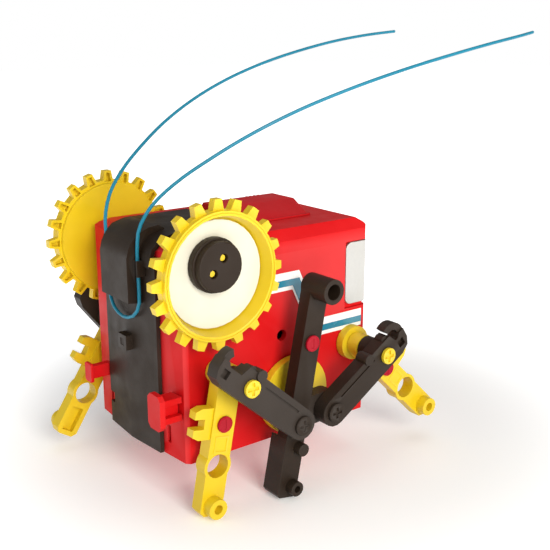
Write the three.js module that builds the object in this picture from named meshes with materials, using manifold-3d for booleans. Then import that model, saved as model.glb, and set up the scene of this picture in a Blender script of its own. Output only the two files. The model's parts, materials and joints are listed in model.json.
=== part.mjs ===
import * as THREE from 'three';
import { mergeVertices } from 'three/addons/utils/BufferGeometryUtils.js';
import Module from 'manifold-3d';

const wasm = await Module();
wasm.setup();

// ---- driving dimensions, millimetres, floor at z = 0, front of the robot faces -Y ----
const belly = 17; // casing underside above the floor
const roof = 93; // casing top
const halfWidth = 31;
const frontRidge = -42.4; // centre ridge of the V-shaped front
const back = 41.6;
const frontSweep = 0.075; // how far the front falls back per mm of width
const wall = 2.2;
const gap = 0.3; // running clearance between neighbouring parts
const stand = { y: -31.9, z: -0.2 }; // puts the origin under the middle of the outline

const hip = { front: [-28.2, 49], rear: [32.8, 46.5] }; // y, z of the hip pins
const drive = [4.4, 32.6]; // y, z of the rocker shafts
const eye = [-30.7, 84]; // y, z of the eye axle
const legLayer = [35, 40.3];
const rockerLayer = [40.6, 45.8];
const linkLayer = [46.2, 51.6];
const linkSpan = 29;
const legTilt = { // lean of each leg from straight down, degrees, + is rearwards
  near_front: -10.8,
  near_rear: 45.7,
  far_front: -33,
  far_rear: 23,
};
const linkTilt = { front: 48.8, rear: -57.2 };

const red = 0xd81a20;
const darkRed = 0xa51d22;
const black = 0x3b332e;
const yellow = 0xf2cf1e;
const white = 0xf8f4e6;
const blue = 0x2b8cc0;
const silver = 0xb9b5ae;
const crimson = 0xcf1238;
const steel = 0xa8adb2;

// ---- solids ----
function toSolid(geometry) {
  const bare = new THREE.BufferGeometry();
  bare.setAttribute('position', geometry.getAttribute('position').clone());
  if (geometry.index) bare.setIndex(geometry.index.clone());
  const merged = mergeVertices(bare, 1e-4);
  return new wasm.Manifold(new wasm.Mesh({
    numProp: 3,
    vertProperties: new Float32Array(merged.getAttribute('position').array),
    triVerts: new Uint32Array(merged.index.array),
  }));
}

function toGeometry(solid) {
  const mesh = solid.getMesh();
  const geometry = new THREE.BufferGeometry();
  geometry.setAttribute('position', new THREE.BufferAttribute(new Float32Array(mesh.vertProperties), 3));
  geometry.setIndex(new THREE.BufferAttribute(new Uint32Array(mesh.triVerts), 1));
  const flat = geometry.toNonIndexed();
  flat.computeVertexNormals();
  return flat;
}

function turned(geometry, x, y, z) {
  const frame = new THREE.Matrix4().makeBasis(x, y, z);
  geometry.applyMatrix4(frame);
  return geometry;
}

const X = new THREE.Vector3(1, 0, 0);
const Y = new THREE.Vector3(0, 1, 0);
const Z = new THREE.Vector3(0, 0, 1);

// a full circle in the outline gets this many segments
function extruded(shape, depth, segments) {
  const curveSegments = Math.ceil(segments / 2);
  return new THREE.ExtrudeGeometry(shape, { depth, curveSegments, bevelEnabled: false });
}

// outline in (y, z), thickness from x0 to x1
function slabX(shape, x0, x1, segments = 20) {
  const g = extruded(shape, x1 - x0, segments);
  turned(g, Y, Z, X);
  g.translate(x0, 0, 0);
  return toSolid(g);
}

// outline in (x, y), height from z0 to z1
function slabZ(shape, z0, z1, segments = 20) {
  const g = extruded(shape, z1 - z0, segments);
  g.translate(0, 0, z0);
  return toSolid(g);
}

// outline in (x, z), depth from y0 to y1
function slabY(shape, y0, y1, segments = 20) {
  const g = extruded(shape, y1 - y0, segments);
  turned(g, X, Z, new THREE.Vector3(0, -1, 0));
  g.translate(0, y1, 0);
  return toSolid(g);
}

function polygon(points) {
  return new THREE.Shape(points.map((p) => new THREE.Vector2(p[0], p[1])));
}

function circle(u, v, r) {
  const shape = new THREE.Shape();
  shape.absarc(u, v, r, 0, Math.PI * 2, false);
  return shape;
}

// round-ended bar between two centres
function bar(a, b, ra, rb) {
  const angle = Math.atan2(b[1] - a[1], b[0] - a[0]);
  const shape = new THREE.Shape();
  shape.absarc(a[0], a[1], ra, angle + Math.PI / 2, angle + Math.PI * 1.5, false);
  shape.absarc(b[0], b[1], rb, angle - Math.PI / 2, angle + Math.PI / 2, false);
  return shape;
}

// rectangle with round corners
function softBox(u0, u1, v0, v1, r) {
  const shape = new THREE.Shape();
  const quarter = Math.PI / 2;
  shape.absarc(u1 - r, v1 - r, r, 0, quarter, false);
  shape.absarc(u0 + r, v1 - r, r, quarter, quarter * 2, false);
  shape.absarc(u0 + r, v0 + r, r, quarter * 2, quarter * 3, false);
  shape.absarc(u1 - r, v0 + r, r, quarter * 3, quarter * 4, false);
  return shape;
}

function box(x0, x1, y0, y1, z0, z1) {
  const g = new THREE.BoxGeometry(x1 - x0, y1 - y0, z1 - z0);
  g.translate((x0 + x1) / 2, (y0 + y1) / 2, (z0 + z1) / 2);
  return toSolid(g);
}

function rod(r, x0, x1, at, segments = 20) {
  return slabX(circle(at[0], at[1], r), x0, x1, segments);
}

function lathed(profile, at, segments = 28) {
  // profile is (radius, x) and starts and ends on the axis
  const points = profile.map((p) => new THREE.Vector2(p[0], p[1]));
  const g = new THREE.LatheGeometry(points, segments);
  turned(g, Z, X, Y);
  g.translate(0, at[0], at[1]);
  return toSolid(g);
}

function unite(parts) {
  return parts.reduce((sum, part) => sum.add(part));
}

function cut(body, tools) {
  return tools.reduce((rest, tool) => rest.subtract(tool), body);
}

const group = new THREE.Group();
group.name = 'solar_walker_robot';

function place(name, solid, color, roughness = 0.45, metalness = 0) {
  const material = new THREE.MeshStandardMaterial({ color, roughness, metalness });
  const geometry = toGeometry(solid);
  geometry.translate(0, stand.y, stand.z);
  const mesh = new THREE.Mesh(geometry, material);
  mesh.name = name;
  group.add(mesh);
}

// the same solid on the other side of the robot
function mirrored(solid) {
  const mesh = solid.getMesh();
  const points = new Float32Array(mesh.vertProperties);
  const faces = new Uint32Array(mesh.triVerts);
  for (let i = 0; i < points.length; i += 3) points[i] = -points[i];
  for (let i = 0; i < faces.length; i += 3) [faces[i], faces[i + 1]] = [faces[i + 1], faces[i]];
  return new wasm.Manifold(new wasm.Mesh({ numProp: 3, vertProperties: points, triVerts: faces }));
}

function placeBoth(name, solid, color, roughness, metalness) {
  place(`near_${name}`, solid, color, roughness, metalness);
  place(`far_${name}`, mirrored(solid), color, roughness, metalness);
}

const frontAt = (x) => frontRidge + Math.abs(x) * frontSweep;

// ---- casing ----
const shoulder = 3.6; // chamfer along the top edges
const hatch = { x: 13, y0: -21, y1: 36 }; // opening for the battery door
const module = { y: 30.4, z0: 60.6, z1: 84.6 }; // band of the solar module round the rear

// rounded bend between the front and the roof, moved outwards by (dy, dz)
function brow(dy, dz) {
  return [
    [frontRidge + 8 - dy * 0.1, roof + dz],
    [frontRidge + 3.6 - dy * 0.5, roof - 1.1 + dz * 0.85],
    [frontRidge + 1 - dy * 0.85, roof - 3.6 + dz * 0.5],
    [frontRidge - dy, roof - 6.4 + dz * 0.1],
  ];
}

function casingHalf() {
  const plan = polygon([
    [0.1, frontRidge],
    [halfWidth - 1.4, frontAt(halfWidth)],
    [halfWidth, frontAt(halfWidth) + 1.4],
    [halfWidth, back - 1.6],
    [halfWidth - 1.6, back],
    [0.1, back],
  ]);
  const section = polygon([
    [-1, belly],
    [halfWidth + 1, belly],
    [halfWidth + 1, roof - shoulder - 1],
    [halfWidth - shoulder, roof],
    [-1, roof],
  ]);
  const side = polygon([
    [frontRidge - 1, belly],
    [back + 1, belly],
    [back + 1, roof - 5],
    [back - 1, roof - 1.8],
    [back - 3.6, roof],
    ...brow(0, 0),
    [frontRidge - 1, roof - 6.4],
  ]);
  const shell = slabZ(plan, belly, roof)
    .intersect(slabY(section, frontRidge - 2, back + 2))
    .intersect(slabX(side, -1, halfWidth + 1));
  const slots = [83.5, 75.7, 25.2].map((z, i) => {
    const half = [2.8, 1.2, 3.3][i];
    return box(19.4, 21.6, frontRidge - 1, frontRidge + 4.6, z - half, z + half);
  });
  return cut(shell, [
    box(-1, halfWidth - wall, frontRidge + 5.4, back - wall, belly + wall, roof - wall),
    box(-1, hatch.x, hatch.y0, hatch.y1, belly - 1, belly + wall + 1),
    box(halfWidth - 1.3, halfWidth + 1, module.y, back + 1, module.z0 - 1.2, module.z1 + 0.4),
    box(-1, halfWidth + 1, back - 1.3, back + 1, module.z0 - 1.2, module.z1 + 0.4),
    rod(2, 20, 40, eye),
    rod(3, 20, 40, drive),
    rod(2, 20, 40, hip.front),
    rod(2, 20, 40, hip.rear),
    rod(2.1, 20, 40, [0.5, 55.3]),
    ...slots,
  ]);
}
placeBoth('casing', casingHalf(), red, 0.32);

// raised roof cover and the switch cap beside it
const coverBase = slabZ(softBox(-13.6, 14.6, -7, 28, 2), roof + 0.1, roof + 0.8);
const coverRaise = slabY(polygon([
  [-12, roof + 0.5],
  [13.2, roof + 0.5],
  [5, roof + 5.2],
  [-8.4, roof + 5.2],
]), -6, 26.6);
place('roof_cover', unite([coverBase, coverRaise]), darkRed, 0.35);
const capBody = box(-20.6, -15.4, 22, 29, roof + 0.15, roof + 2.6);
const capRidges = [23.6, 25.5, 27.4].map((y) => box(-22, -14, y - 0.4, y + 0.4, roof + 2.2, roof + 3));
place('switch_cap', cut(capBody, capRidges), darkRed, 0.4);

// solar module: silver band round the rear, dark cell inside it
const band = slabZ(polygon([
  [-halfWidth, module.y + 0.3],
  [-halfWidth + 1, module.y + 0.3],
  [-halfWidth + 1, back - 1.3],
  [-halfWidth + 1.3, back - 1],
  [halfWidth - 1.3, back - 1],
  [halfWidth - 1, back - 1.3],
  [halfWidth - 1, module.y + 0.3],
  [halfWidth, module.y + 0.3],
  [halfWidth, back - 1.4],
  [halfWidth - 1.4, back],
  [-halfWidth + 1.4, back],
  [-halfWidth, back - 1.4],
]), module.z0 + 0.3, module.z1);
const bandOutline = softBox(module.y + 0.3, back + 9, module.z0 + 0.3, module.z1, 2.6);
const cellSeat = box(-24, 24, back - 0.6, back + 1, module.z0 + 2.4, module.z1 - 2.2);
const frameBody = band.intersect(slabX(bandOutline, -halfWidth - 1, halfWidth + 1));
place('solar_frame', cut(frameBody, [cellSeat]), silver, 0.3, 0.6);
const cellFace = box(-23.7, 23.7, back - 0.5, back + 0.2, module.z0 + 2.7, module.z1 - 2.5);
const cellGrooves = [-16, -8, 0, 8, 16].map((x) => (
  box(x - 0.15, x + 0.15, back + 0.05, back + 1, module.z0, module.z1)
));
place('solar_cell', cut(cellFace, cellGrooves), 0x1d2440, 0.2);

// striped side bands
function stripe(low, high, x0, x1) {
  return slabX(polygon([
    [-26, 71.6 + low],
    [5.2, 71.6 + low],
    [14.6, 51.7 + low],
    [back - 3, 51.7 + low],
    [back - 3, 51.7 + high],
    [17.6, 51.7 + high],
    [8.2, 71.6 + high],
    [-26, 71.6 + high],
  ]), x0, x1);
}
placeBoth('decal', stripe(0, 6.6, halfWidth + 0.05, halfWidth + 0.25), white, 0.3);
placeBoth('decal_stripe', stripe(1.5, 3.9, halfWidth + 0.3, halfWidth + 0.4), 0x2687a6, 0.3);

// ---- black front bracket with the nose ----
function frontBracket() {
  const half = 17.8;
  const plan = polygon([
    [-half, frontAt(half) - gap],
    [0, frontRidge - gap],
    [half, frontAt(half) - gap],
    [half, frontAt(half) - 1.8],
    [0, frontRidge - 1.8],
    [-half, frontAt(half) - 1.8],
  ].reverse());
  const strip = slabZ(plan, belly + 0.3, roof - 6);
  const corner = slabX(polygon([
    [-8, roof + 0.2],
    [-8, roof + 1.8],
    ...brow(1.8, 1.8),
    [frontRidge - 1.8, roof - 9],
    [frontRidge - gap, roof - 9],
    ...brow(gap, 0.2).reverse(),
  ]), -16.8, 16.8);
  const nose = slabX(polygon([
    [-43, 70.2],
    [-48.6, 71],
    [-48.6, 86.4],
    [-47.8, 89.6],
    [-46, 92.5],
    [-43.2, 94.8],
    [-39.8, 96.2],
    [-36, 96.6],
    [-33.4, 95.2],
    [-35, 93.9],
    [-39.4, 92.6],
    [-42, 90],
    [-43, 86.3],
  ]), -9.5, 9.5);
  const clips = [-1, 1].map((s) => {
    const inner = Math.min(s * 9, s * 12.7);
    const outer = Math.max(s * 9, s * 12.7);
    return box(inner, outer, -46.4, frontRidge - 0.9, 80.4, 86);
  });
  const peg = box(-2.9, 2.9, -46.6, frontRidge - 1, 51.8, 57.2);
  const body = unite([strip, corner, nose, peg, ...clips]);
  const wireHoles = [-10.8, 10.8].map((x) => box(x - 1, x + 1, -47, -43.9, 70, 90));
  const notches = [-1, 1].map((s) => {
    const inner = Math.min(s * 14.4, s * 19);
    const outer = Math.max(s * 14.4, s * 19);
    return box(inner, outer, -46, -38, 25.5, 29.5);
  });
  const groove = box(-1.2, 1.2, -48, -46.4, 53.2, 55.8);
  return cut(body, [...wireHoles, ...notches, groove]);
}
place('front_bracket', frontBracket(), black, 0.5);

// red lugs low on the front: a tall plate on two arms on the near side, a low tee on the far side
const lugPlate = slabY(polygon([
  [21.8, 32.6],
  [23.4, 31],
  [28.4, 31],
  [30, 32.6],
  [30, 42],
  [28.4, 43.6],
  [23.4, 43.6],
  [21.8, 42],
]), -49.6, -47.6);
const lugArms = [[33, 35.2], [39.4, 41.6]].map(([low, high]) => (
  slabZ(polygon([
    [23, -48],
    [29, -48],
    [29, frontAt(29) - gap],
    [23, frontAt(23) - gap],
  ]), low, high)
));
const lugRib = box(25, 26.8, -48, frontAt(25) - gap, 34, 41);
place('near_lug', unite([lugPlate, lugRib, ...lugArms]), red, 0.35);
const teeWeb = box(-22.2, -19.2, -49.4, frontAt(19.2) - gap, 34.8, 39.8);
const teePlate = slabY(softBox(-23.4, -18.2, 33.6, 41, 1), -50.4, -49.1);
place('far_lug', unite([teeWeb, teePlate]), red, 0.35);

// ---- one blue spring wire: antenna, mouth, antenna ----
const wireHalf = [
  [10.4, -45, 70],
  [10.8, -45, 76],
  [10.8, -45.1, 83],
  [10.9, -45.1, 90],
  [12, -44.6, 97],
  [14.6, -41, 104.6],
  [18.2, -33.6, 112],
  [22.5, -23.2, 119.2],
  [27.3, -10, 126.8],
  [32.2, 6.4, 134.2],
  [37, 25.7, 140.9],
  [40.7, 47, 146.7],
  [43, 69.1, 151.5],
  [43.6, 90.3, 155.3],
  [42, 108.5, 157.8],
  [38.6, 121.3, 159.2],
];
const wirePoints = [
  ...wireHalf.map(([x, y, z]) => new THREE.Vector3(-x, y, z)).reverse(),
  new THREE.Vector3(-7.4, -45.4, 65.8),
  new THREE.Vector3(0, -45.6, 63.6),
  new THREE.Vector3(7.4, -45.4, 65.8),
  ...wireHalf.map(([x, y, z]) => new THREE.Vector3(x, y, z)),
];
const wireCurve = new THREE.CatmullRomCurve3(wirePoints);
const wireGeometry = new THREE.ExtrudeGeometry(circle(0, 0, 0.62), {
  steps: 130,
  curveSegments: 4,
  bevelEnabled: false,
  extrudePath: wireCurve,
});
place('antenna_wire', toSolid(wireGeometry), blue, 0.35);

// ---- eyes ----
const teeth = 20;
function gearOutline(tip, root) {
  const points = [];
  for (let i = 0; i < teeth; i += 1) {
    const pitch = (Math.PI * 2) / teeth;
    const corners = [[-0.3, root], [-0.17, tip], [0.17, tip], [0.3, root]];
    for (const [part, r] of corners) {
      const a = (i + part) * pitch;
      points.push([eye[0] + r * Math.cos(a), eye[1] + r * Math.sin(a)]);
    }
  }
  return polygon(points);
}
const pegSpots = [[-31, 90.6], [-35, 85.9]];
const pupil = [-32.2, 87.8];

// hollow in the back of each tooth
function toothHollow(index) {
  const a = (index * Math.PI * 2) / teeth;
  const at = (r, side) => [
    eye[0] + r * Math.cos(a) - side * Math.sin(a),
    eye[1] + r * Math.sin(a) + side * Math.cos(a),
  ];
  return slabX(polygon([at(21, -1.15), at(24.3, -0.6), at(24.3, 0.6), at(21, 1.15)]), 35, 37.4);
}

const cupHollow = lathed([[0, 35], [18.5, 35], [20, 40.4], [20, 41], [0, 41]], eye, 36);
const rimGroove = rod(21, 39.9, 41, eye, 36).subtract(rod(20.7, 39, 42, eye, 36));
const gearBody = unite([
  slabX(gearOutline(25.2, 21.7), 35.4, 38.4),
  rod(20.5, 33.9, 36, eye, 36),
  rod(21.6, 38, 40.2, eye, 36),
]);
const toothHollows = Array.from({ length: teeth }, (_, i) => toothHollow(i));
const gearCup = cut(gearBody, [cupHollow, rimGroove, ...toothHollows]);
const gearHub = rod(5, 32, 34.4, eye, 16);
const gearPegs = pegSpots.map((p) => rod(1.1, 34.5, 40.5, p, 8));
const eyeGear = cut(unite([gearCup, gearHub, ...gearPegs]), [rod(1.9, 31, 42, eye, 14)]);
placeBoth('eye_gear', eyeGear, yellow, 0.4);

const pegHoles = () => pegSpots.map((p) => rod(1.5, 35, 43, p, 10));
placeBoth('eye_disc', cut(rod(18.2, 35.3, 35.9, eye, 36), pegHoles()), white, 0.35);
const pupilBody = lathed([
  [0, 36.2],
  [9.2, 36.2],
  [9.2, 38.7],
  [8.9, 39],
  [8.4, 39],
  [8.4, 41.2],
  [8, 41.6],
  [0, 41.6],
], pupil);
placeBoth('pupil', cut(pupilBody, pegHoles()), black, 0.45);
place('eye_axle', rod(1.6, -34.7, 34.7, eye, 14), steel, 0.3, 0.9);

// ---- hips: spacer and slotted pin ----
for (const [end, at] of Object.entries(hip)) {
  const spacer = cut(rod(end === 'front' ? 4.2 : 6.5, 31.3, 34.7, at, 20), [rod(1.9, 30, 36, at, 12)]);
  placeBoth(`${end}_hip_spacer`, spacer, yellow);
  const pin = unite([rod(1.55, 27, 52, at, 12), rod(3, 51.9, 53.1, at, 18)]);
  const slot = box(52.4, 54, at[0] - 0.6, at[0] + 0.6, at[1] - 2.2, at[1] + 2.2);
  const cross = box(52.4, 54, at[0] - 2.2, at[0] + 2.2, at[1] - 0.6, at[1] + 0.6);
  placeBoth(`${end}_hip_pin`, cut(pin, [slot, cross]), yellow);
}

// ---- legs ----
// point at distance s down a leg and t sideways from its middle line, outwards from the robot
function along(at, tilt, out, s, t) {
  const a = THREE.MathUtils.degToRad(tilt);
  const down = [Math.sin(a), -Math.cos(a)];
  const aside = [out * Math.cos(a), out * Math.sin(a)];
  return [at[0] + down[0] * s + aside[0] * t, at[1] + down[1] * s + aside[1] * t];
}

function leg(at, tilt, out) {
  const p = (s, t) => along(at, tilt, out, s, t);
  const [x0, x1] = legLayer;
  const lug = polygon([p(10.5, 2), p(10.5, 9), p(11.6, 11.4), p(20.4, 11.4), p(21.5, 9), p(21.5, 2)]);
  const lugSlot = polygon([p(14.2, 7.4), p(14.2, 13), p(17.8, 13), p(17.8, 7.4)]);
  const round = Array.from({ length: 9 }, (_, i) => {
    const turn = (Math.PI * i) / 8;
    return p(-4.5 * Math.sin(turn), 4.5 * Math.cos(turn));
  });
  const outline = polygon([...round, p(47.2, -4.5), p(48.9, -2.8), p(48.9, 2.8), p(47.2, 4.5)]);
  const body = unite([
    slabX(outline, x0, x1),
    slabX(circle(...p(31, 0), 5.4), x0, x1, 26),
    slabX(lug, x0 + 0.8, x1 - 0.8),
    rod(3.6, x1 - 0.5, 44.2, p(45, 0), 18),
  ]);
  const frame = [[20.4, 26.4, 2.7], [21.1, 25.7, 2]].map(([s0, s1, t], i) => (
    slabX(polygon([p(s0, -t), p(s0, t), p(s1, t), p(s1, -t)]), x1 - 0.5 + i * 0.4, x1 + (i ? 1 : 0.25))
  ));
  return cut(body.add(frame[0].subtract(frame[1])), [
    slabX(lugSlot, x0 - 1, x1 + 1),
    rod(1.9, x0 - 1, x1 + 1, at, 12),
    rod(1.8, x0 + 0.8, x1 + 1, p(16, 0), 12),
    rod(4.2, x0 - 1, x1 + 1, p(31, 0), 24),
    rod(1.7, 41, 45, p(45, 0), 12),
    slabX(polygon([p(37.4, -2.4), p(37.4, 2.4), p(47, 2.4), p(47, -2.4)]), x0 - 1, x0 + 2.6),
    slabX(polygon([p(5, -2.6), p(5, 2.6), p(13, 2.6), p(13, -2.6)]), x0 - 1, x0 + 2.6),
  ]);
}

function redPin(at, x0, x1) {
  const pin = unite([rod(1.5, x0, x1 + 0.5, at, 12), rod(2.9, x1 + 0.12, x1 + 1, at, 18)]);
  return cut(pin, [box(x1 + 0.7, x1 + 2, at[0] - 0.4, at[0] + 0.4, at[1] - 1.8, at[1] + 1.8)]);
}

// ---- links between the hips and the rocker, finger hook at the hip end ----
const linkReach = { front: 15.6, rear: 11.4 }; // how far each link runs on past its hip pin
const linkCurl = { front: 0.24, rear: 0.62 }; // share of a half turn that its finger curls
const linkStub = { front: 1, rear: 7.5 }; // where the stub on its upper edge sits
function link(at, tilt, out, end) {
  const reach = linkReach[end];
  const [x0, x1] = linkLayer;
  const half = 5.4;
  const q = (s, n) => along(at, tilt, out, s, -n);
  const round = Array.from({ length: 9 }, (_, i) => {
    const turn = (Math.PI * i) / 8;
    return q(linkSpan + half * Math.sin(turn), half * Math.cos(turn));
  });
  const beam = polygon([
    q(-4.6, half),
    ...round,
    q(-reach + 5, -half),
    q(-reach + 1.4, -4),
    q(-reach, -1),
    q(-reach, 3),
    q(-reach + 2.4, 3),
    q(-reach + 4, 1.6),
    q(-6.2, 1.6),
  ]);
  const curl = [-reach + 5.4, 3.2];
  const sweep = Array.from({ length: 9 }, (_, i) => Math.PI * (1 - (i / 8) * linkCurl[end]));
  const finger = polygon([
    ...sweep.map((a) => q(curl[0] + 5.5 * Math.cos(a), curl[1] + 5.5 * Math.sin(a))),
    ...sweep.reverse().map((a) => q(curl[0] + 2.8 * Math.cos(a), curl[1] + 2.8 * Math.sin(a))),
    q(-reach + 2.4, 0.5),
    q(-reach, 0.5),
  ]);
  const bumps = [[-2.6, 5, 1.5], [linkStub[end], 5.2, 2.1]].map(([s, n, r], i) => (
    slabX(circle(...q(s, n), r), x0 + 0.9, x1 - (i ? -0.8 : 0.9), 12)
  ));
  const body = unite([
    slabX(beam, x0, x1),
    slabX(finger, x0 + 0.7, x1 - 0.7),
    rod(4.4, 40.7, x0 + 0.5, at, 18),
    ...bumps,
  ]);
  const rail = polygon([q(5.4, 3.2), q(24, 3.2), q(24, 2.5), q(5.4, 2.5)]);
  const bore = rod(1.9, 40, x1 + 1, at, 12);
  const seat = rod(1.9, x0 - 1, x1 + 1, q(linkSpan, 0), 12);
  const window = polygon([[2, -2.6], [5, -2.6], [5, 0.4], [2, 0.4]].map(([s, n]) => q(s - reach, n)));
  return cut(body, [bore, seat, slabX(rail, x1 - 0.5, x1 + 1), slabX(window, x1 - 1.6, x1 + 1)]);
}

const sides = { near: (solid) => solid, far: mirrored };
for (const [side, flip] of Object.entries(sides)) {
  for (const end of ['front', 'rear']) {
    const out = end === 'front' ? -1 : 1;
    const at = hip[end];
    const tilt = legTilt[`${side}_${end}`];
    const swing = tilt - legTilt[`near_${end}`];
    const lean = linkTilt[end] + (side === 'far' ? swing * 0.5 : 0);
    const pinAt = along(at, tilt, out, 16, 0);
    const joint = along(at, lean, out, linkSpan, 0);
    place(`${side}_${end}_leg`, flip(leg(at, tilt, out)), yellow, 0.4);
    place(`${side}_${end}_leg_pin`, flip(redPin(pinAt, legLayer[0] + 1.2, legLayer[1])), crimson, 0.4);
    place(`${side}_${end}_link`, flip(link(at, lean, out, end)), black, 0.5);
    const head = unite([rod(1.6, linkLayer[0] + 0.1, 52.2, joint, 12), rod(3.5, 51.75, 52.7, joint, 18)]);
    const crossCut = [
      box(52.2, 54, joint[0] - 0.5, joint[0] + 0.5, joint[1] - 2, joint[1] + 2),
      box(52.2, 54, joint[0] - 2, joint[0] + 2, joint[1] - 0.5, joint[1] + 0.5),
    ];
    place(`${side}_${end}_link_pin`, flip(cut(head, crossCut)), black, 0.45);
  }
}

// ---- middle rockers ----
const rockerFoot = [-8.2, 4.4];
const rockerHub = [5.6, 75.4];
const rockerPin = [2, 56.2];
function rocker() {
  const [x0, x1] = rockerLayer;
  const length = Math.hypot(rockerHub[0] - rockerFoot[0], rockerHub[1] - rockerFoot[1]);
  const lean = [(rockerHub[0] - rockerFoot[0]) / length, (rockerHub[1] - rockerFoot[1]) / length];
  const r = (s, t) => [
    rockerFoot[0] + lean[0] * s + lean[1] * t,
    rockerFoot[1] + lean[1] * s - lean[0] * t,
  ];
  const round = Array.from({ length: 9 }, (_, i) => {
    const turn = (Math.PI * i) / 8;
    return r(length + 4 * Math.sin(turn), 4 * Math.cos(turn));
  });
  const footEnd = [r(-2.4, -4.2), r(-3.7, -3), r(-3.7, 3), r(-2.4, 4.2)];
  const outline = polygon([...round, ...footEnd]);
  const footBlock = polygon([...footEnd, r(15, 4.2), r(18, -4.2)]);
  const body = unite([
    slabX(outline, x0, x1),
    slabX(footBlock, x0 - 3.2, x1),
    slabX(bar([-6.6, 30.4], [9.6, 31.4], 5.4, 5.4), x0, x1),
    rod(4.4, x0, 53, rockerHub, 22),
    rod(2.7, x1 - 0.5, 49.2, [-6.6, 4.6], 16),
    rod(2.3, x1 - 0.5, 49, [-3.6, 18.6], 14),
  ]);
  return cut(body, [
    rod(2.8, 47, 54, rockerHub, 20),
    rod(1.8, x0 + 1, x1 + 1, rockerPin, 12),
    rod(1.3, 47, 50, [-6.6, 4.6], 12),
    rod(2.75, 38, 43.4, drive, 16),
  ]);
}
placeBoth('rocker', rocker(), black, 0.5);
placeBoth('rocker_pin', redPin(rockerPin, rockerLayer[0] + 1.4, rockerLayer[1]), crimson, 0.4);
placeBoth('rocker_disc', cut(rod(14.6, 31.4, 34.6, drive, 36), [rod(2.75, 30, 36, drive, 16)]), yellow, 0.4);
placeBoth('rocker_shaft', rod(2.5, 14, 43.1, drive, 16), steel, 0.3, 0.9);

// ---- works inside the casing ----
const motorAt = [24, 62];
const gearAt = [6.6, 62];
const motor = unite([
  rod(9.6, -18, 6, motorAt, 24),
  rod(3, 5.5, 7.4, motorAt, 14),
  rod(1, 7, 13.4, motorAt, 10),
]);
place('motor', motor, silver, 0.35, 0.7);
place('motor_pinion', cut(rod(3, 8.6, 13, motorAt, 14), [rod(1.2, 8, 14, motorAt, 10)]), white, 0.4);
const crank = unite([rod(13.6, 9, 12.4, gearAt, 30), rod(1.5, 12, 16, [gearAt[0], gearAt[1] - 8], 10)]);
place('crank_gear', cut(crank, [rod(1.8, 8, 17, gearAt, 12)]), white, 0.4);
place('crank_axle', rod(1.5, 5, 16, gearAt, 12), steel, 0.3, 0.9);

const tray = cut(box(-7.4, 7.4, -17.6, 33.6, 20.6, 34), [box(-6.1, 6.1, -16.3, 32.3, 20, 32.7)]);
place('battery_tray', tray, black, 0.5);
const cell = slabY(circle(0, 26, 5.1), -15, 29.5, 22);
const cap = slabY(circle(0, 26, 1.9), 29.3, 30.7, 12);
place('battery_cell', cell.add(cap), silver, 0.3, 0.7);
const door = unite([
  box(-hatch.x + gap, hatch.x - gap, hatch.y0 + gap, hatch.y1 - gap, belly + 0.2, belly + 2),
  box(-4, 4, hatch.y0 + 4, hatch.y0 + 5.4, belly - 0.8, belly + 0.4),
  box(-4, 4, hatch.y0 + 7, hatch.y0 + 8.4, belly - 0.8, belly + 0.4),
]);
place('battery_door', door, red, 0.35);

export default group;
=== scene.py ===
import json
import math

import bpy
from mathutils import Matrix, Vector

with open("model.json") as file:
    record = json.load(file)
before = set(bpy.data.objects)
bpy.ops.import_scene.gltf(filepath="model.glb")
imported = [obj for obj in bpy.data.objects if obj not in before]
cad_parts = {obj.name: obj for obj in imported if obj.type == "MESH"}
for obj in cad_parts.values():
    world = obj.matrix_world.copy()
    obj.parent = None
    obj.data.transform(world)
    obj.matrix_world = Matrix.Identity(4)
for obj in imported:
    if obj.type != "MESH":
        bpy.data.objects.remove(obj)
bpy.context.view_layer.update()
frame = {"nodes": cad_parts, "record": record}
scene = bpy.context.scene


# ---- camera: three-quarter view from the near front corner ----
CAMERA_PLACE = (0.27283, -0.22131, 0.16155)
CAMERA_AZIMUTH = math.radians(52.3)
CAMERA_ELEVATION = math.radians(15.31)
FOCAL_LENGTH_MM = 59.63
SENSOR_WIDTH_MM = 36


def make_camera():
    data = bpy.data.cameras.new("camera")
    data.sensor_fit = "HORIZONTAL"
    data.sensor_width = SENSOR_WIDTH_MM
    data.lens = FOCAL_LENGTH_MM
    data.clip_start = 0.01
    data.clip_end = 20
    camera = bpy.data.objects.new("camera", data)
    scene.collection.objects.link(camera)
    right = Vector((math.cos(CAMERA_AZIMUTH), math.sin(CAMERA_AZIMUTH), 0))
    back = Vector((
        math.sin(CAMERA_AZIMUTH) * math.cos(CAMERA_ELEVATION),
        -math.cos(CAMERA_AZIMUTH) * math.cos(CAMERA_ELEVATION),
        math.sin(CAMERA_ELEVATION),
    ))
    up = back.cross(right)
    turn = Matrix((right, up, back)).transposed().to_4x4()
    camera.matrix_world = Matrix.Translation(CAMERA_PLACE) @ turn
    scene.camera = camera


make_camera()


# ---- materials ----
PLASTIC_IOR = 1.5
COAT_ROUGHNESS = 0.12
LIGHT_DEPTH = (0.004, 0.002, 0.001)  # how far red, green and blue light go into milky plastic
GRAIN_DEPTH = 0.0002  # height of the mould texture
DRIFT_SCALE, GLOSS_SCALE, GRAIN_SCALE = 45, 120, 1800  # noise scales of moulded plastic
RUB_FROM, RUB_TO = 0.53, 0.62  # pointiness at which an edge starts to be rubbed and is fully rubbed
CELL_LINE_PITCH = 0.0012  # lines across the solar cell
CELL_LINE_WIDTH = 0.00012
NOISE_LOW, NOISE_HIGH = 0.3, 0.7  # the part of the noise's range that is used


def node_material(name):
    material = bpy.data.materials.new(name)
    material.use_nodes = True
    tree = material.node_tree
    tree.nodes.clear()
    out = tree.nodes.new("ShaderNodeOutputMaterial")
    shader = tree.nodes.new("ShaderNodeBsdfPrincipled")
    tree.links.new(shader.outputs["BSDF"], out.inputs["Surface"])
    place = tree.nodes.new("ShaderNodeTexCoord").outputs["Object"]
    return material, tree, shader, place


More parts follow.
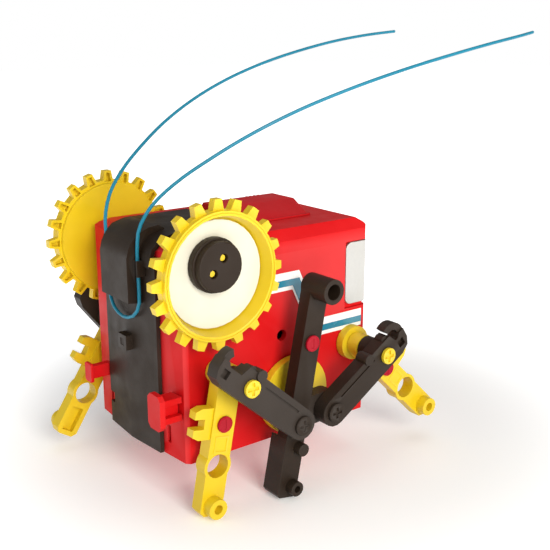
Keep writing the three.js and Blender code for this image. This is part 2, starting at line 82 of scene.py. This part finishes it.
def noise(tree, place, scale, detail=3.0):
    node = tree.nodes.new("ShaderNodeTexNoise")
    node.inputs["Scale"].default_value = scale
    node.inputs["Detail"].default_value = detail
    node.inputs["Roughness"].default_value = 0.5
    tree.links.new(place, node.inputs["Vector"])
    return node.outputs["Fac"]


def ramp(tree, value, stops):
    node = tree.nodes.new("ShaderNodeValToRGB")
    points = node.color_ramp.elements
    while len(points) < len(stops):
        points.new(0.5)
    for point, (at, color) in zip(points, stops):
        point.position = at
        point.color = (*color, 1)
    tree.links.new(value, node.inputs["Fac"])
    return node.outputs["Color"]


def spread(tree, value, low, high):
    node = tree.nodes.new("ShaderNodeMapRange")
    node.inputs["From Min"].default_value = NOISE_LOW
    node.inputs["From Max"].default_value = NOISE_HIGH
    node.inputs["To Min"].default_value = low
    node.inputs["To Max"].default_value = high
    tree.links.new(value, node.inputs["Value"])
    return node.outputs["Result"]


def mix(tree, factor, a, b):
    node = tree.nodes.new("ShaderNodeMix")
    node.data_type = "RGBA"
    tree.links.new(factor, node.inputs["Factor"])
    for socket, value in ((node.inputs[6], a), (node.inputs[7], b)):
        if isinstance(value, tuple):
            socket.default_value = (*value, 1)
        else:
            tree.links.new(value, socket)
    return node.outputs[2]


def plastic(name, color, rough, coat, grain, wear, sub=0.0, shine=0.5):
    """Moulded plastic: slight colour drift, uneven gloss, fine mould texture and rubbed edges."""
    material, tree, shader, place = node_material(name)
    darker = tuple(c * 0.9 for c in color)
    lighter = tuple(min(1, c * 1.06 + 0.004) for c in color)
    drift = ramp(tree, noise(tree, place, DRIFT_SCALE), [(NOISE_LOW, darker), (NOISE_HIGH, lighter)])
    edge = tree.nodes.new("ShaderNodeNewGeometry").outputs["Pointiness"]
    rub = ramp(tree, edge, [(RUB_FROM, (0, 0, 0)), (RUB_TO, (wear, wear, wear))])
    worn = tuple(min(1, c * 0.8 + 0.22) for c in color)
    tree.links.new(mix(tree, rub, drift, worn), shader.inputs["Base Color"])
    gloss = spread(tree, noise(tree, place, GLOSS_SCALE, 4), rough * 0.82, rough * 1.2)
    tree.links.new(gloss, shader.inputs["Roughness"])
    bump = tree.nodes.new("ShaderNodeBump")
    bump.inputs["Strength"].default_value = grain
    bump.inputs["Distance"].default_value = GRAIN_DEPTH
    tree.links.new(noise(tree, place, GRAIN_SCALE, 2), bump.inputs["Height"])
    tree.links.new(bump.outputs["Normal"], shader.inputs["Normal"])
    shader.inputs["Coat Weight"].default_value = coat
    shader.inputs["Coat Roughness"].default_value = COAT_ROUGHNESS
    shader.inputs["IOR"].default_value = PLASTIC_IOR
    shader.inputs["Specular IOR Level"].default_value = shine
    if sub:
        shader.inputs["Subsurface Weight"].default_value = sub
        shader.inputs["Subsurface Radius"].default_value = LIGHT_DEPTH
        shader.inputs["Subsurface Scale"].default_value = 1
    return material


def metal(name, color, rough, grain_axis=(400, 400, 30)):
    material, tree, shader, place = node_material(name)
    stretch = tree.nodes.new("ShaderNodeMapping")
    stretch.inputs["Scale"].default_value = grain_axis
    tree.links.new(place, stretch.inputs["Vector"])
    lines = noise(tree, stretch.outputs["Vector"], 4, 4)
    tone = ramp(tree, lines, [(0.25, tuple(c * 0.8 for c in color)), (0.75, color)])
    tree.links.new(tone, shader.inputs["Base Color"])
    tree.links.new(spread(tree, lines, rough * 0.7, rough * 1.3), shader.inputs["Roughness"])
    shader.inputs["Metallic"].default_value = 1
    return material


def solar(name):
    material, tree, shader, place = node_material(name)
    split = tree.nodes.new("ShaderNodeSeparateXYZ")
    tree.links.new(place, split.inputs["Vector"])
    wave = tree.nodes.new("ShaderNodeMath")
    wave.operation = "PINGPONG"
    wave.inputs[1].default_value = CELL_LINE_PITCH
    tree.links.new(split.outputs["Z"], wave.inputs[0])
    line = tree.nodes.new("ShaderNodeMath")
    line.operation = "LESS_THAN"
    line.inputs[1].default_value = CELL_LINE_WIDTH
    tree.links.new(wave.outputs[0], line.inputs[0])
    dark_blue, light_blue = (0.010, 0.014, 0.05), (0.02, 0.03, 0.10)
    base = ramp(tree, noise(tree, place, 300), [(NOISE_LOW, dark_blue), (NOISE_HIGH, light_blue)])
    color = mix(tree, line.outputs[0], base, (0.35, 0.36, 0.38))
    tree.links.new(color, shader.inputs["Base Color"])
    shader.inputs["Roughness"].default_value = 0.2
    shader.inputs["Coat Weight"].default_value = 1
    return material


# The second red is the body red made darker for the roof cover: painted shade, because the roof takes
# less light than the lit sides.
RED, ROOF_SHADE_RED, CRIMSON = (0.60, 0.004, 0.006), (0.50, 0.005, 0.009), (0.36, 0.002, 0.014)
YELLOW, BLACK, MILKY = (0.72, 0.51, 0.008), (0.020, 0.0115, 0.0065), (0.82, 0.80, 0.74)
WHITE_FILM, WHITE = (0.90, 0.90, 0.89), (0.68, 0.66, 0.56)
BLUE_FILM, BLUE = (0.015, 0.20, 0.31), (0.005, 0.19, 0.30)
SILVER, TIN, STEEL = (0.66, 0.65, 0.62), (0.6, 0.6, 0.6), (0.62, 0.62, 0.63)

moulded = {"coat": 0.0, "grain": 0.05}
film = {"rough": 0.25, "coat": 0.3, "grain": 0.02, "wear": 0.0}
finish = {
    "red_plastic": plastic("red_moulding", RED, 0.46, wear=0.12, shine=0.12, **moulded),
    # roof cover in the darker red: painted shade of the roof
    "dark_red_plastic": plastic("red_moulding_painted_roof_shade", ROOF_SHADE_RED, 0.46, wear=0.10, shine=0.12, **moulded),
    "black_plastic": plastic("black_moulding", BLACK, 0.5, coat=0.0, grain=0.12, wear=0.07, shine=0.2),
    "yellow_plastic": plastic(
        "yellow_moulding", YELLOW, 0.38, wear=0.14, sub=0.03, shine=0.35, **moulded
    ),
    "crimson_plastic": plastic("crimson_moulding", CRIMSON, 0.45, wear=0.04, shine=0.1, **moulded),
    "white_sticker": plastic("white_film", WHITE_FILM, **film),
    "white_plastic": plastic("white_moulding", WHITE, 0.45, coat=0.0, grain=0.04, wear=0.0, shine=0.25),
    "blue_wire": plastic("blue_wire", BLUE, 0.5, coat=0.0, grain=0.03, wear=0.0, shine=0.3),
    "blue_sticker": plastic("blue_film", BLUE_FILM, **film),
    "silver_plastic": metal("silver_band", SILVER, 0.45, grain_axis=(60, 60, 60)),
    "metal_can": metal("brushed_can", TIN, 0.35),
    "steel": metal("steel_rod", STEEL, 0.25, grain_axis=(30, 400, 400)),
    "natural_plastic": plastic("natural_moulding", MILKY, 0.4, coat=0.1, grain=0.05, wear=0.1, sub=0.1),
    "solar_glass": solar("solar_cell"),
}
slot_of = {part["node"]: part["material_slot"] for part in frame["record"]["subparts"]}


# ---- rounding for the CAD parts ----
SMOOTH_BELOW = math.radians(34)  # edges flatter than this are shaded smooth
BEVEL_ABOVE = math.radians(38)  # edges sharper than this are rounded
FLAT_WITHIN = math.radians(0.6)  # faces this close to one plane become one face
WELD_DISTANCE = 0.000002
BEVEL_SEGMENTS = 2
FLAT_FACE_WEIGHT = 60


def smoothing_group(name):
    tree = bpy.data.node_groups.new(name, "GeometryNodeTree")
    tree.interface.new_socket("Geometry", in_out="INPUT", socket_type="NodeSocketGeometry")
    tree.interface.new_socket("Geometry", in_out="OUTPUT", socket_type="NodeSocketGeometry")
    start = tree.nodes.new("NodeGroupInput")
    end = tree.nodes.new("NodeGroupOutput")
    faces = tree.nodes.new("GeometryNodeSetShadeSmooth")
    edges = tree.nodes.new("GeometryNodeSetShadeSmooth")
    edges.domain = "EDGE"
    angle = tree.nodes.new("GeometryNodeInputMeshEdgeAngle")
    small = tree.nodes.new("FunctionNodeCompare")
    small.operation = "LESS_THAN"
    small.inputs["B"].default_value = SMOOTH_BELOW
    tree.links.new(angle.outputs["Unsigned Angle"], small.inputs["A"])
    tree.links.new(start.outputs[0], faces.inputs["Geometry"])
    tree.links.new(faces.outputs["Geometry"], edges.inputs["Geometry"])
    tree.links.new(small.outputs["Result"], edges.inputs["Shade Smooth"])
    tree.links.new(edges.outputs["Geometry"], end.inputs[0])
    return tree


smooth = smoothing_group("smooth_by_angle")


def soften(part, width):
    weld = part.modifiers.new("weld", "WELD")
    weld.merge_threshold = WELD_DISTANCE
    merge = part.modifiers.new("merge_flats", "DECIMATE")
    merge.decimate_type = "DISSOLVE"
    merge.angle_limit = FLAT_WITHIN
    if width:
        bevel = part.modifiers.new("edges", "BEVEL")
        bevel.width = width
        bevel.segments = BEVEL_SEGMENTS
        bevel.limit_method = "ANGLE"
        bevel.angle_limit = BEVEL_ABOVE
        bevel.use_clamp_overlap = True
        bevel.harden_normals = False
    shade = part.modifiers.new("shade", "NODES")
    shade.node_group = smooth
    normals = part.modifiers.new("flat_faces_stay_flat", "WEIGHTED_NORMAL")
    normals.keep_sharp = True
    normals.weight = FLAT_FACE_WEIGHT


# width of the rounded edge by a word in the part's name; the last word that fits counts
edge_width = {
    "casing": 0.0009, "roof_cover": 0.0006, "bracket": 0.0007, "lug": 0.0004, "leg": 0.0004,
    "link": 0.0005, "rocker": 0.0006, "gear": 0.0003, "pupil": 0.0003, "door": 0.0005,
    "spacer": 0.0004, "disc": 0.0003, "pin": 0.00025, "frame": 0.0003, "cap": 0.0004,
}
for name, part in frame["nodes"].items():
    part.data.materials.clear()
    part.data.materials.append(finish[slot_of[name]])
    width = 0
    for word, value in edge_width.items():
        if word in name:
            width = value
    soften(part, width)


# ---- studio ----
FLOOR_REACH = 3  # from the middle to each side
FLOOR_DARK, FLOOR_LIGHT = (0.84, 0.85, 0.86), (0.88, 0.89, 0.90)
# the floor gives off light, little under the robot and more further out, so that it ends up white
GLOW_FROM, GLOW_TO = 0.07, 0.22  # distance from the middle
GLOW_LEAST, GLOW_MOST = 0.2, 1.0
AMBIENT = 0.26  # strength of the world's light on the robot


def make_floor():
    mesh = bpy.data.meshes.new("floor")
    side = FLOOR_REACH
    corners = [(-side, -side, 0), (side, -side, 0), (side, side, 0), (-side, side, 0)]
    mesh.from_pydata(corners, [], [(0, 1, 2, 3)])
    floor = bpy.data.objects.new("floor", mesh)
    scene.collection.objects.link(floor)
    material, tree, shader, place = node_material("pale_floor")
    tone = ramp(tree, noise(tree, place, 3), [(NOISE_LOW, FLOOR_DARK), (NOISE_HIGH, FLOOR_LIGHT)])
    tree.links.new(tone, shader.inputs["Base Color"])
    shader.inputs["Roughness"].default_value = 0.9
    shader.inputs["Specular IOR Level"].default_value = 0.1
    reach = tree.nodes.new("ShaderNodeVectorMath")
    reach.operation = "LENGTH"
    tree.links.new(place, reach.inputs[0])
    glow = tree.nodes.new("ShaderNodeMapRange")
    glow.interpolation_type = "SMOOTHSTEP"
    glow.inputs["From Min"].default_value = GLOW_FROM
    glow.inputs["From Max"].default_value = GLOW_TO
    glow.inputs["To Min"].default_value = GLOW_LEAST
    glow.inputs["To Max"].default_value = GLOW_MOST
    tree.links.new(reach.outputs["Value"], glow.inputs["Value"])
    shader.inputs["Emission Color"].default_value = (1, 1, 1, 1)
    tree.links.new(glow.outputs["Result"], shader.inputs["Emission Strength"])
    mesh.materials.append(material)


make_floor()


def area_light(name, place, target, size, power, color=(1, 1, 1)):
    data = bpy.data.lights.new(name, "AREA")
    data.size = size
    data.energy = power
    data.color = color
    light = bpy.data.objects.new(name, data)
    scene.collection.objects.link(light)
    light.location = place
    light.rotation_euler = (Vector(target) - Vector(place)).to_track_quat("-Z", "Y").to_euler()


WARM = (1.0, 0.955, 0.875)
area_light("key", place=(0.95, -0.22, 0.46), target=(0, 0, 0.06), size=0.5, power=10.5, color=WARM)
area_light("top", place=(0.1, 0.1, 1.1), target=(0, 0, 0.05), size=0.8, power=2.1)
area_light("fill", place=(-0.3, -1.1, 0.5), target=(0, 0, 0.06), size=0.8, power=2)


def make_world():
    """Full white where the camera sees it, a weaker white as light on the robot."""
    world = bpy.data.worlds.new("studio")
    world.use_nodes = True
    tree = world.node_tree
    tree.nodes.clear()
    seen = tree.nodes.new("ShaderNodeBackground")
    seen.inputs["Color"].default_value = (1, 1, 1, 1)
    seen.inputs["Strength"].default_value = 1.0
    lit = tree.nodes.new("ShaderNodeBackground")
    lit.inputs["Color"].default_value = (1, 1, 1, 1)
    lit.inputs["Strength"].default_value = AMBIENT
    path = tree.nodes.new("ShaderNodeLightPath")
    choose = tree.nodes.new("ShaderNodeMixShader")
    out = tree.nodes.new("ShaderNodeOutputWorld")
    tree.links.new(path.outputs["Is Camera Ray"], choose.inputs[0])
    tree.links.new(lit.outputs[0], choose.inputs[1])
    tree.links.new(seen.outputs[0], choose.inputs[2])
    tree.links.new(choose.outputs[0], out.inputs["Surface"])
    scene.world = world


make_world()
scene.view_settings.view_transform = "Standard"
scene.view_settings.look = "None"
